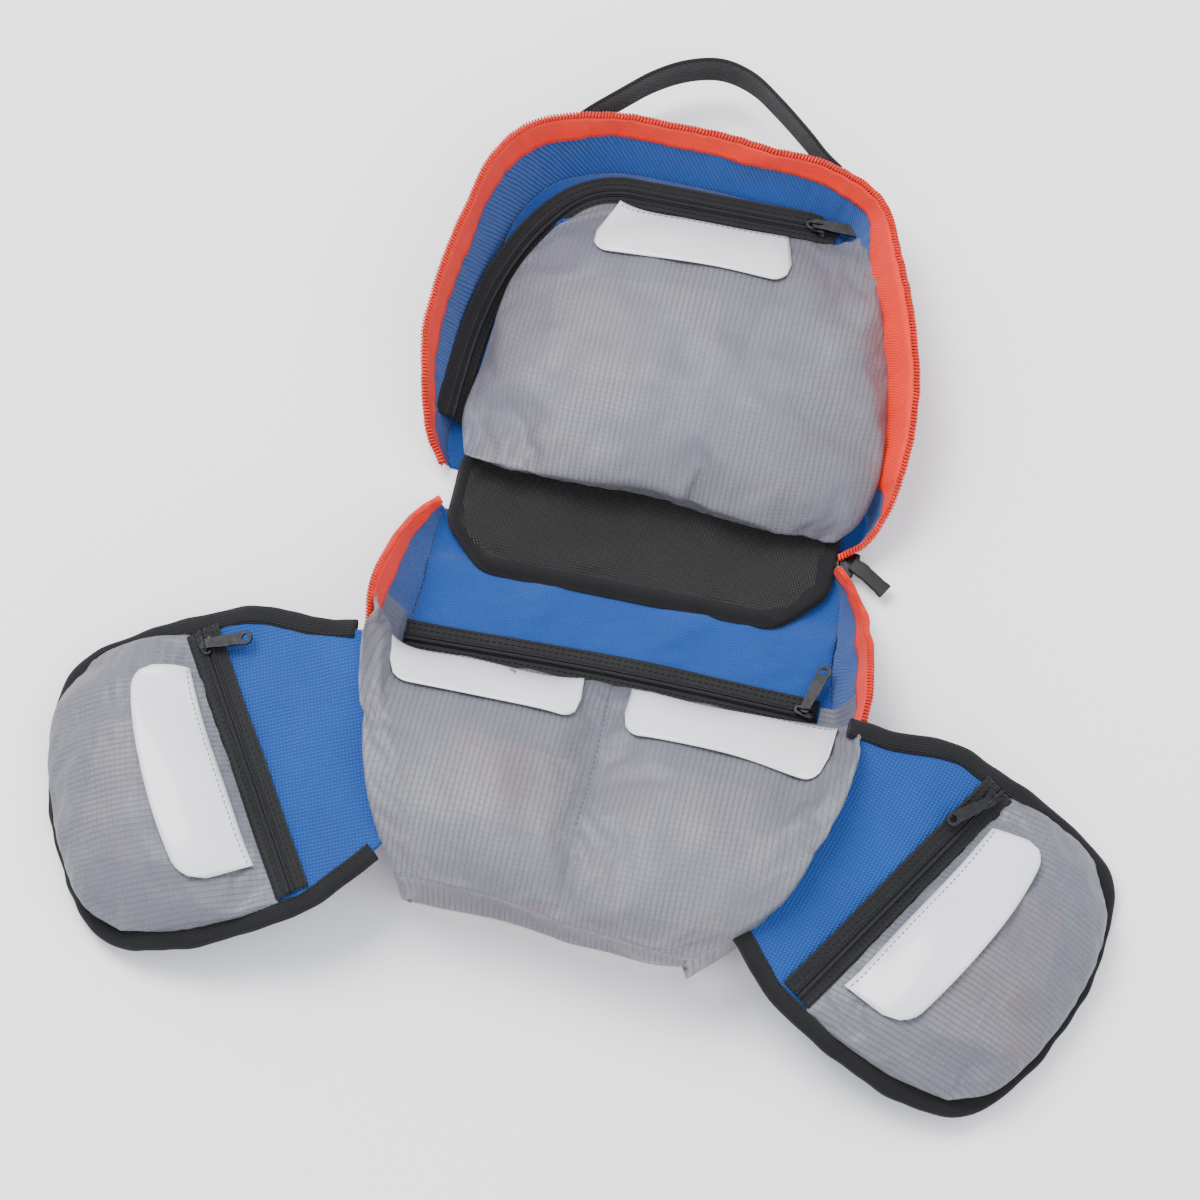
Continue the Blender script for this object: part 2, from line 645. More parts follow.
# %% [markdown]
# The spine is a flat black cushion, and the closed bag stands on it. A wide tape is
# folded round its cut edge and sewn through, so the edge is a soft roll and the middle
# is a low pillow. The cushion is a closed tube along the fold whose section is a boxy oval.

# %% Spine pad and its binding
SPINE_HALF = (82.5, 35.0)
SPINE_CORNER = 17.0


def spine_pad():
    """Closed shell: at each station x a boxy oval, narrowed at the corners by the chamfer."""
    x = SPINE_HALF[0] - 5
    station = x * np.sin(np.linspace(-np.pi / 2, np.pi / 2, 70))
    reach = SPINE_HALF[1] - 5 - np.clip(np.abs(station) - (x - SPINE_CORNER + 3), 0, None)
    ring = oval(2.0, 2.0, 56, 0.45)
    y = reach[:, None] * ring[None, :, 0]
    crown = 3.4 * (1 - (y / SPINE_HALF[1]) ** 2) * (1 - (station[:, None] / 90) ** 4)
    x = np.broadcast_to(station[:, None], y.shape)
    dents = 0.8 * relief(x, y, 34, 41) + 0.3 * relief(x, 2 * y, 10, 42)
    lift = np.clip(ring[None, :, 1], 0, 1)
    z = 3.1 + 2.6 * ring[None, :, 1] + (crown + dents) * lift
    return closed_ends(np.stack([x, y, z], axis=-1))


pad_grid = spine_pad()
flat = np.stack([pad_grid[..., 0] + 100, pad_grid[..., 1] + 50], axis=-1)
pad = grid_object("spine_cushion", pad_grid, pad_black, up=None, flat=flat, wrap_columns=True)
hang(pad, "spine", ["spine_pad"])


def ring_path(corners, count):
    """A closed outline through the corners, its corners rounded by averaging neighbours."""
    line = even(np.vstack([corners, corners[:1]]), count + 1)[:-1]
    for _ in range(4):
        line = (np.roll(line, 1, axis=0) + line + np.roll(line, -1, axis=0)) / 3
    return line


def loop(name, path, profile, finish, body, stands_for=()):
    """A closed ring: the profile carried round a closed path."""
    wide = np.vstack([path[-2:], path, path[:2]])
    grid = sweep(wide, profile)[2:-2]
    obj = grid_object(name, grid, finish, up=None, wrap_rows=True, wrap_columns=True)
    return hang(obj, body, stands_for)


hx, hy, cut = SPINE_HALF[0] - 4, SPINE_HALF[1] - 4, SPINE_CORNER
OCTAGON = np.array([
    (hx - cut, -hy, 3.4), (hx, cut - hy, 3.4), (hx, hy - cut, 3.4), (hx - cut, hy, 3.4),
    (cut - hx, hy, 3.4), (-hx, hy - cut, 3.4), (-hx, cut - hy, 3.4), (cut - hx, -hy, 3.4),
])
edge = ring_path(OCTAGON, 260)
edge[:, 2] += 0.5 * relief(edge[:, 0], edge[:, 1], 22, 44)
loop("spine_edge_binding", edge, oval(9.4, 7.2, 16, 0.8), binding_black, "spine",
     ["spine_binding"])
seam = ring_path(OCTAGON * (0.955, 0.9, 1), 260)
seam[:, 2] += 2.6
stitches("spine_stitches", seam, (0, 0, 1), thread_black, "spine")

# %% [markdown]
# Four zips close the pockets. Each has two tapes sewn flat and a fine coil turned to the
# back, so that only two smooth ridges show along the middle. The slider is a cast body
# with an arched bridge, and a long pull with a round eye hangs from the bridge.

# %% Pocket zips
RIDGES = np.array([
    (-2.4, 0.0), (-2.0, 0.8), (-1.2, 1.15), (-0.35, 0.8), (0, 0.35), (0.35, 0.8), (1.2, 1.15),
    (2.0, 0.8), (2.4, 0.0), (0, -0.4),
])


def pocket_zip(name, path, up, body, width=14.5):
    """Two tapes from the chain's edge to half the width, and the ridges between them."""
    side, level = sweep(path, np.array([(0.0, 0.0), (1.0, 0.0)]), up), np.atleast_2d(up)[-1]
    across = side[:, 1] - side[:, 0]
    top = np.cross(across, directions(path))
    wobble = relief(np.arange(len(path)), np.zeros(len(path)), 30, len(name)) * 0.25
    for part, low, high in (("outer", 1.4, width / 2), ("inner", -width / 2, -1.4)):
        shares = np.linspace(low, high, 6)
        sag = 0.35 * np.sin(np.pi * (shares - low) / (high - low))
        grid = np.stack([path + across * s + top * (0.9 - d) for s, d in zip(shares, sag)])
        grid[[0, -1]] += (across * wobble[:, None])[None]
        sheet(f"{name}_cloth_{part}", grid, zip_black, 0.7, "laid", body, "black_tape",
              [f"{name}_tape_{part}"], up=level)
        for line in (3.9, width / 2 - 1.1):
            shift = across * (line if part == "outer" else -line) + top * 1.0
            stitches(f"{name}_stitches_{part}_{line:.0f}", path + shift, level, thread_black, body)
    tube(f"{name}_chain", path + top * 0.8, RIDGES[::-1], chain_black, body,
         [f"{name}_coil"], up)


PULL_LENGTH, PULL_WIDTH, PULL_LIFT = 21.5, 6.0, 4.5


def placed(points, origin, ahead, up):
    """Local points with x along ahead and z along up, moved to the origin."""
    ahead, up = np.asarray(ahead, float), np.asarray(up, float)
    axes = np.stack([ahead, np.cross(up, ahead), up])
    return np.asarray(points, float) @ axes + np.asarray(origin, float)


def slab(outline, low, high, soft=0.5):
    """Closed grid of a flat outline between two heights, its edges rounded: each level is
    the outline drawn in by soft at the top and bottom, and to a point at both ends."""
    middle = outline.mean(axis=0)
    reach = np.linalg.norm(outline - middle, axis=1).max()
    levels = [(low, 0), (low, 1 - soft / reach), (low + soft, 1), (high - soft, 1),
              (high, 1 - soft / reach), (high, 0)]
    return np.stack([
        np.column_stack([middle + (outline - middle) * s, np.full(len(outline), z)]) for z, s in levels
    ])


def metal_piece(name, grid, body, stands_for=(), crease=True, **wrap):
    """A closed cast piece. With crease, edges that turn by more than 50 degrees stay crisp."""
    obj = grid_object(name, grid, gunmetal, up=None, **wrap)
    hang(obj, body, stands_for)
    if crease:
        obj.data.set_sharp_from_angle(angle=math.radians(50))
    return obj


def slider_set(name, origin, heading, aim, up):
    """A slider's two plates and its bridge, and the pull that hangs from the bridge."""
    a = np.linspace(-np.pi / 2, np.pi / 2, 9)
    nose = np.column_stack([-2.2 - 2.4 * np.cos(a), 2.1 * np.sin(a)])
    tail = np.array([(1.2, -3.1), (4.2, -3.2), (4.6, -2.6), (4.6, 2.6), (4.2, 3.2), (1.2, 3.1)])
    plate = np.vstack([nose, tail[::-1]])
    for part, low, high in (("top", 2.3, 3.3), ("bottom", 0.2, 0.9)):
        grid = placed(slab(plate, low, high, 0.35), origin, heading, up)
        metal_piece(f"{name}_slider_{part}", grid, f"{name}_slider", [f"{name}_slider"],
                    wrap_columns=True)
    arch = curve([(-2.6, 0, 3.0), (-2.4, 0, 4.4), (-0.6, 0, 5.3), (1.6, 0, 5.2), (3.0, 0, 4.2),
                  (3.2, 0, 3.0)], 24)
    across = placed([(0, 1, 0)], (0, 0, 0), heading, up)[0]
    bridge = closed_ends(sweep(placed(arch, origin, heading, up), oval(1.7, 1.0, 8), across))
    metal_piece(f"{name}_bridge", bridge, f"{name}_slider", wrap_columns=True, crease=False)
    eye = np.asarray(origin) + np.asarray(up) * PULL_LIFT
    metal_piece(f"{name}_tag", placed(pull_grid(PULL_LENGTH, PULL_WIDTH), eye, aim, up),
                f"{name}_pull", [f"{name}_pull"], wrap_rows=True, wrap_columns=True)
    print(f"{name}: slider at {np.round(origin, 1)}")


def pull_grid(length, width):
    """Closed band between a pull's outline and the round hole near its end: the outline is
    a bar that swells into a round eye, and four rings go over the top and back underneath."""
    a = np.linspace(0, 2 * np.pi, 48, endpoint=False)
    eye = length - width / 2
    hole = np.column_stack([eye + width * 0.27 * np.cos(a), width * 0.27 * np.sin(a)])
    reach = np.cos(a)
    x = np.where(reach > 0, eye + width / 2 * reach, eye + (eye + 1.5) * reach)
    bar = width * (0.34 + 0.08 * ease((x - 3) / 6))
    y = np.where(reach > 0, width / 2 * np.sin(a), np.sign(np.sin(a)) * np.minimum(
        np.abs(np.sin(a)) * width * 1.2, bar + (width / 2 - bar) * ease(1 + (x - eye) / 3)))
    outer = np.column_stack([x, y])
    rings = [(outer, -0.4), (outer, 0.4), (outer, 0.6), (hole, 0.6), (hole, -0.6), (outer, -0.6)]
    return np.stack([np.column_stack([ring, np.full(len(ring), z)]) for ring, z in rings])


base_zip = np.column_stack([np.linspace(-88, 88, 90), np.full(90, -70.0), np.full(90, 5.6)])
base_zip[:, 1] += 1.2 * np.cos(base_zip[:, 0] / 40)
pocket_zip("base_pocket_zip", base_zip, (0, 0, 1), "base")
slider_set("base_pocket_zip", (82.75, -70, 6.0), (1, 0, 0), (math.cos(1.3), math.sin(1.3), 0), (0, 0, 1))

lid_zip = curve([
    (-92, 30, 9), (-91.5, 50, 9), (-90, 74, 8.5), (-85.5, 98, 8), (-78, 119, 7), (-68, 136, 6),
    (-57, 147, 5.6), (-44, 152.4, 5.6), (-28, 153, 5.6), (10, 153, 5.6), (54, 153, 5.6),
], 150)
lean = 0.75 * ease((-50 - lid_zip[:, 0]) / 35)
lid_up = np.column_stack([lean, 0 * lean, 1 + 0 * lean])
lid_up /= np.linalg.norm(lid_up, axis=1)[:, None]
pocket_zip("lid_pocket_zip", lid_zip, lid_up, "lid")
slider_set("lid_pocket_zip", (44.75, 153, 6.0), (1, 0, 0), (1, 0, 0), (0, 0, 1))

# %% [markdown]
# A pocket is a sheet sewn down along its zip and round its other three sides, and the
# supplies push it up from below. It is spanned between its four edges, lifted into a
# puffed shape, and given a skirt where it turns over its outer edge. Cloth simulation
# then lets the sheet be a little too large for its seams and blows it up softly, which
# makes the small creases that no formula draws well.

# %% Pocket shapes
def grid_shares(rows, columns):
    """Shares from 0 to 1 down a grid's rows, and along its columns."""
    return np.linspace(0, 1, rows)[:, None], np.linspace(0, 1, columns)[None, :]


def spanned(mouth, fold, left, right, rows, columns):
    """A Coons patch: the sheet ruled from mouth to fold, plus the one ruled from left to
    right, less the one ruled between the four corners."""
    top, low = curve(mouth, columns), curve(fold, columns)
    near, far = curve(left, rows), curve(right, rows)
    near[0], near[-1], far[0], far[-1] = top[0], low[0], top[-1], low[-1]
    a, t = (share[..., None] for share in grid_shares(rows, columns))
    corners = (1 - a) * ((1 - t) * top[0] + t * top[-1]) + a * ((1 - t) * low[0] + t * low[-1])
    return (1 - a) * top + a * low + (1 - t) * near[:, None] + t * far[:, None] - corners


def puffed(patch, height, front, sides):
    """The patch lifted by height * sin(pi a^front)^0.7 * sin(pi t)^sides."""
    a, t = grid_shares(*patch.shape[:2])
    rise = np.sin(np.pi * a**front).clip(0) ** 0.7 * np.sin(np.pi * t).clip(0) ** sides
    return patch + (height * rise)[..., None] * np.array([0, 0, 1.0])


def skirted(patch, end_drop, side_drops=None, count=6):
    """The patch with extra rows past its last one, each a share further along end_drop,
    and extra columns at both sides along the two side_drops. The added columns end as low as
    the patch's own corners do. Shares go as sin and cos of a quarter turn, so the cloth
    rolls over its edge."""
    turn = np.linspace(0, np.pi / 2, count + 1)[1:, None, None]

    def roll(edge, drop):
        down = drop * np.array([0, 0, 1.0])
        rolled = edge + (drop - down) * np.sin(turn) + down * (1 - np.cos(turn)) * 0.4
        return rolled + down * 0.6 * np.sin(turn)

    if side_drops is not None:
        level = patch[-1, [0, -1], 2] + end_drop[[0, -1], 2]
        left = roll(patch[:, 0][None], side_drops[0][None])[::-1].transpose(1, 0, 2)
        far = roll(patch[:, -1][None], side_drops[1][None]).transpose(1, 0, 2)
        patch = np.concatenate([left, patch, far], axis=1)
        end_drop = np.concatenate([np.repeat(end_drop[:1], count, 0), end_drop,
                                   np.repeat(end_drop[-1:], count, 0)])
        end_drop[:count, 2] = level[0] - patch[-1, :count, 2]
        end_drop[-count:, 2] = level[1] - patch[-1, -count:, 2]
    return np.concatenate([patch, roll(patch[-1][None], end_drop[None])])


# %% Cloth simulation of a sewn sheet
def slackened(name, grid, held, slack, push, frames=22, cap=7.0, bend=0.08):
    """The grid after the sheet, slack times larger than its seams allow, is blown up from
    below for some frames. held marks the sewn points. No point moves further than cap."""
    obj = grid_object(f"{name}_loose", grid, pocket_cloth)
    group = obj.vertex_groups.new(name="sewn")
    group.add(np.flatnonzero(held.ravel()).tolist(), 1.0, "REPLACE")
    cloth = obj.modifiers.new("cloth", "CLOTH")
    set_up = cloth.settings
    set_up.quality, set_up.mass = 6, 0.15
    set_up.tension_stiffness = set_up.compression_stiffness = 12
    set_up.shear_stiffness, set_up.bending_stiffness = 6, bend
    set_up.vertex_group_mass = "sewn"
    set_up.shrink_min = -slack
    set_up.use_pressure, set_up.uniform_pressure_force = True, push
    set_up.effector_weights.gravity = 0
    cloth.point_cache.frame_end = frames
    for step in range(1, frames + 1):
        bpy.context.scene.frame_set(step)
    settled = obj.evaluated_get(bpy.context.evaluated_depsgraph_get()).data
    after = np.empty(len(settled.vertices) * 3)
    settled.vertices.foreach_get("co", after)
    after = after.reshape(grid.shape) / MM
    bpy.data.objects.remove(obj)
    bpy.context.scene.frame_set(1)
    move = after - grid
    far = np.linalg.norm(move, axis=2, keepdims=True)
    move *= cap * np.tanh(far / cap) / np.maximum(far, 1e-9)
    print(f"{name}: cloth moved {far.mean():.1f} mm on average and {far.max():.1f} at most")
    return grid + move


# %% [markdown]
# A film window is sewn over each pocket's mouth for a paper label. It is stiffer than
# the pocket, so it takes the smooth shape nearest to the settled cloth and lies on it.
# Its two lower corners are rounded, and a row of stitches holds its upper edge.

# %% Label windows
def read_grid(grid, a, t):
    """The grid's point at each pair of shares (a, t), mixed from the four points around."""
    r, c = a * (grid.shape[0] - 1), t * (grid.shape[1] - 1)
    i, j = np.clip(r.astype(int), 0, grid.shape[0] - 2), np.clip(c.astype(int), 0, grid.shape[1] - 2)
    r, c = (r - i)[..., None], (c - j)[..., None]
    near = grid[i, j] * (1 - c) + grid[i, j + 1] * c
    return near * (1 - r) + (grid[i + 1, j] * (1 - c) + grid[i + 1, j + 1] * c) * r


def lifted(grid, distance, up):
    """A grid moved along its own normals, turned to the side of up."""
    normal = np.cross(np.gradient(grid, axis=0), np.gradient(grid, axis=1))
    normal /= np.maximum(np.linalg.norm(normal, axis=2, keepdims=True), 1e-9)
    return grid + distance * normal * np.sign(normal @ np.asarray(up, float))[..., None]


def label(name, grid, corners, body, stands_for, rests_on, up=(0, 0, 1)):
    """A window between four shares of the pocket (near, far, left, right): the smooth sheet
    nearest to the cloth there, each coordinate a polynomial of degree 3 in p and 5 in q
    found by least squares. Near both sides the far edge draws back by an arc of a circle."""
    near, far, left, right_share = corners
    up = np.asarray(up, float)

    def terms(p, q):
        return np.stack([(2 * p - 1) ** i * (2 * q - 1) ** j for i in range(4) for j in range(6)], axis=-1)

    p, q = np.meshgrid(np.linspace(0, 1, 16), np.linspace(0, 1, 44), indexing="ij")
    cloth = read_grid(grid, near + (far - near) * p, left + (right_share - left) * q)
    fit = np.linalg.lstsq(terms(p, q).reshape(-1, 24), cloth.reshape(-1, 3), rcond=None)[0]
    lift = 0.9 + np.clip((cloth - terms(p, q) @ fit) @ up, 0, None).max()
    edge_gap = np.clip(1 - np.minimum(q, 1 - q) / 0.1, 0, 1)
    smooth = terms(p * (1 - 0.34 * (1 - np.sqrt(1 - edge_gap**2))), q) @ fit + lift * up
    print(f"{name}: raised {lift:.2f} mm to clear the cloth")
    obj = sheet(name, smooth, label_film, 0.4, "laid", body, "label_film", stands_for, rests_on, up=up)
    row = smooth[1] + up * 0.25
    thread = stitches(f"{name}_stitches", row[1:-1], up, thread_grey, body, 2.4, 1.7, 0.4)
    return [obj, thread]


# %% Base pocket
base_mouth = [(-101, -67, 37), (-96, -71, 21), (-89, -74.5, 7), (-62, -75, 5.2), (0, -74.6, 5.2),
              (62, -75, 5.2), (90, -76, 7), (100, -78, 21), (108, -80, 37)]
base_fold = [(-64, -187, 43), (-48, -188, 46), (-22, -189, 46), (-2, -192, 45), (8, -194, 45),
             (24, -195, 46), (44, -197, 45), (60, -196, 42)]
base_left = [(-101, -67, 37), (-99, -77, 49), (-97, -90, 53), (-91.5, -118, 54), (-84, -146, 54),
             (-76, -166, 52), (-64, -187, 43)]
base_right = [(108, -80, 37), (108.5, -91, 49), (107.5, -104, 53), (104, -125, 54), (97, -149, 54),
              (86, -172, 51), (60, -196, 42)]
ROWS, COLUMNS, SKIRT = 56, 86, 6


def base_pocket():
    """The puffed patch over the base, pulled down along the divider's seam, then its skirt:
    straight down in front, and at the sides a drop that deepens towards the front."""
    patch = spanned(base_mouth, base_fold, base_left, base_right, ROWS, COLUMNS)
    patch = puffed(patch, 9.0, 0.75, 0.5)
    a, t = grid_shares(ROWS, COLUMNS)
    seam_depth = 6.5 * np.sin(np.pi * np.clip(a / 0.68, 0, 1)) * np.exp(-(((t - 0.5) * 190) / 8) ** 2)
    x, y = patch[..., 0], patch[..., 1]
    patch[..., 2] -= seam_depth
    patch[..., 2] += 0.9 * relief(x, y * 0.5, 26, 71) * np.sin(np.pi * a) ** 0.5
    drop = np.zeros((COLUMNS, 3))
    share = np.linspace(0, 1, COLUMNS)
    drop[:, 0] = 6 * (0.5 - share)
    drop[:, 1] = 3 + 5 * share
    drop[:, 2] = -(patch[-1, :, 2] - 3.5)
    side = np.zeros((2, ROWS, 3))
    side[0, :, 0], side[1, :, 0] = 2, -2
    along = np.linspace(0, 1, ROWS)
    side[..., 2] = -(10 + 20 * ease((along - 0.5) / 0.4)) * ease(along * 4)
    return skirted(patch, drop, side, SKIRT)


def sewn_edges(grid):
    """A mask of the grid's points in which its four edges are sewn."""
    held = np.zeros(grid.shape[:2], bool)
    held[[0, -1]], held[:, [0, -1]] = True, True
    return held


def base_sewn(grid):
    """Sewn points: the four edges, the divider's seam, and the fold above the front skirt."""
    held = sewn_edges(grid)
    middle = SKIRT + COLUMNS // 2
    held[: int(ROWS * 0.6), middle] = True
    held[ROWS - 1, SKIRT:-SKIRT] = True
    return held


base_cloth = base_pocket()
base_flat = np.stack([base_cloth[..., 0], base_cloth[..., 1] + base_cloth[..., 2]], axis=-1)
base_cloth = slackened("base_pocket", base_cloth, base_sewn(base_cloth), 0.035, 3.0)
base_soft = [sheet("base_pocket_cloth", base_cloth, pocket_cloth, 0.5, "gathered", "base", "ripstop",
                   ["base_pocket", "base_divider"], rests_on=["base_cloth_lining"], levels=1,
                   flat=base_flat)]
inner = base_cloth[:, SKIRT:-SKIRT]
last = (ROWS - 1) / (len(inner) - 1)
for side, start, end in (("left", 0.115, 0.455), ("right", 0.535, 0.9)):
    base_soft += label(f"base_window_{side}", inner, (0.042, 0.29 * last, start, end), "base",
                       [f"base_label_{side}"], ["base_pocket_cloth"])
row = read_grid(inner, np.linspace(0.02, 0.62, 40) * last, np.full(40, 0.5)) + (0, 0, 0.3)
base_soft.append(stitches("divider_stitches", row, (0, 0, 1), thread_grey, "base"))
for piece in base_soft:
    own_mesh(piece)

# %% [markdown]
# The strips beside the zip's two ends are the same nylon as the pocket. They close the
# gap between the short zip and the tray's wall, and climb a little way up the wall.

# %% Strips at the ends of the base zip
CLIMB_SHARES = (0.14, 0.25, 0.4, 0.55, 0.7, 0.85, 0.94)
for name, side, low, high in (("left", -1, -79, -59), ("right", 1, -88, -64)):
    pick = (base_rim[:, 0] * side > 0) & (base_rim[:, 1] > low) & (base_rim[:, 1] < high)
    climb = np.stack([beside(wall(base_rim, s, BASE_SEED), 1.3)[pick] for s in CLIMB_SHARES])
    start = climb[:1].copy()
    start[..., 0], start[..., 2] = side * 89.0, 6.0
    strip = np.concatenate([start, climb])
    sheet(f"base_zip_end_{name}", strip, pocket_cloth, 0.5, "stretched", "base", "ripstop",
          rests_on=["base_cloth_lining"])

# %% Lid pocket
lid_mouth = [(-64, 132.5, 5.6), (-54, 143, 5.4), (-42, 147.6, 5.2), (-20, 147, 5.2), (10, 147, 5.2),
             (50, 147.3, 5.4), (59, 148.5, 8), (67, 150, 14)]
lid_fold_edge = [(-80, 10, 19), (-56, 7, 22), (-30, 6.5, 23), (-3, 7, 22), (22, 4, 22), (48, 2, 21),
                 (66, 3, 15), (81, 6, 9)]
lid_left = [(-64, 132.5, 5.6), (-73, 116.5, 5.8), (-80, 97, 6.2), (-83, 74, 6), (-85, 50, 7),
            (-86, 30, 10), (-80, 10, 19)]
lid_right = [(67, 150, 14), (74, 135, 20), (81, 113, 23), (87, 92, 23), (91.5, 70, 22), (94, 48, 21),
             (94, 32, 17), (89.5, 16, 12), (81, 6, 9)]


def lid_pocket():
    """The puffed patch in the lid, with gathers along its far right edge, and a skirt
    that rolls under at the fold over the spine."""
    patch = puffed(spanned(lid_mouth, lid_fold_edge, lid_left, lid_right, ROWS, COLUMNS), 17.0, 1.1, 0.45)
    x, y = patch[..., 0], patch[..., 1]
    a, t = grid_shares(ROWS, COLUMNS)
    gather = np.sin(x * 1.1) * ease((x - 48) / 8) * np.exp(-a * 12)
    low_folds = relief(x, y * 0.35, 13, 83) * ease((a - 0.8) / 0.15)
    patch[..., 2] += 0.9 * gather + 0.9 * low_folds + 0.9 * relief(x, y, 30, 81) * np.sin(np.pi * a) ** 0.5
    drop = np.zeros((COLUMNS, 3))
    drop[:, 1] = 5
    drop[:, 2] = -(patch[-1, :, 2] - 8.5)
    return skirted(patch, drop, None, SKIRT)


LID_ROLL = ("spine", "lid", (0, 4, 0), (0, 46, 0))
lid_cloth = lid_pocket()
lid_flat = np.stack([lid_cloth[..., 0], lid_cloth[..., 1] + lid_cloth[..., 2]], axis=-1)
lid_cloth = slackened("lid_pocket", lid_cloth, sewn_edges(lid_cloth), 0.035, 3.0)
sheet("lid_pocket_cloth", lid_cloth, pocket_cloth, 0.5, "gathered", LID_ROLL, "ripstop",
      ["lid_pocket"], rests_on=["lid_cloth_lining"], levels=1, flat=lid_flat)
label("lid_window", lid_cloth, (0.016, 0.235, 0.21, 0.74), LID_ROLL, ["lid_label"], ["lid_pocket_cloth"])

# %% [markdown]
# Each wing is a flat bound panel hinged beside the base, with its own zip and pocket.
# It is drawn in its own three directions: u away from the hinge, v along it towards the
# lid, and w up from the panel. One small function turns those numbers into places.

# %% Wings
# The panel falls from the hinge's height to just above the table over its 150 mm length.
WING_HINGE_X, WING_HINGE_Y, WING_HINGE_Z = 88.4, -105, 48
WING_TILT = math.asin((WING_HINGE_Z - 1.1 - 0.3) / 150)
WING_LEAN = math.radians(17.5)
WING_EDGE = [
    (1, 24), (24, 30), (50, 41), (72, 42), (98, 41), (124, 36), (140, 24), (149, -10), (147, -45),
    (138, -76), (125, -92), (102, -99), (72, -99), (40, -94), (18, -84), (1, -75),
]


def wing_axes(side):
    """The directions u, v and w of the left wing (side -1) or the right one (side 1)."""
    cos_t, sin_t = math.cos(WING_TILT), math.sin(WING_TILT)
    u = np.array([side * math.cos(WING_LEAN) * cos_t, -math.sin(WING_LEAN) * cos_t, -sin_t])
    v = np.array([side * math.sin(WING_LEAN), math.cos(WING_LEAN), 0.0])
    return np.stack([u, v, np.cross(u, v) * side])


def on_wing(points, side):
    """Points in (u, v, w) as places in the world."""
    return np.asarray(points, float) @ wing_axes(side) + (
        side * WING_HINGE_X, WING_HINGE_Y, WING_HINGE_Z)


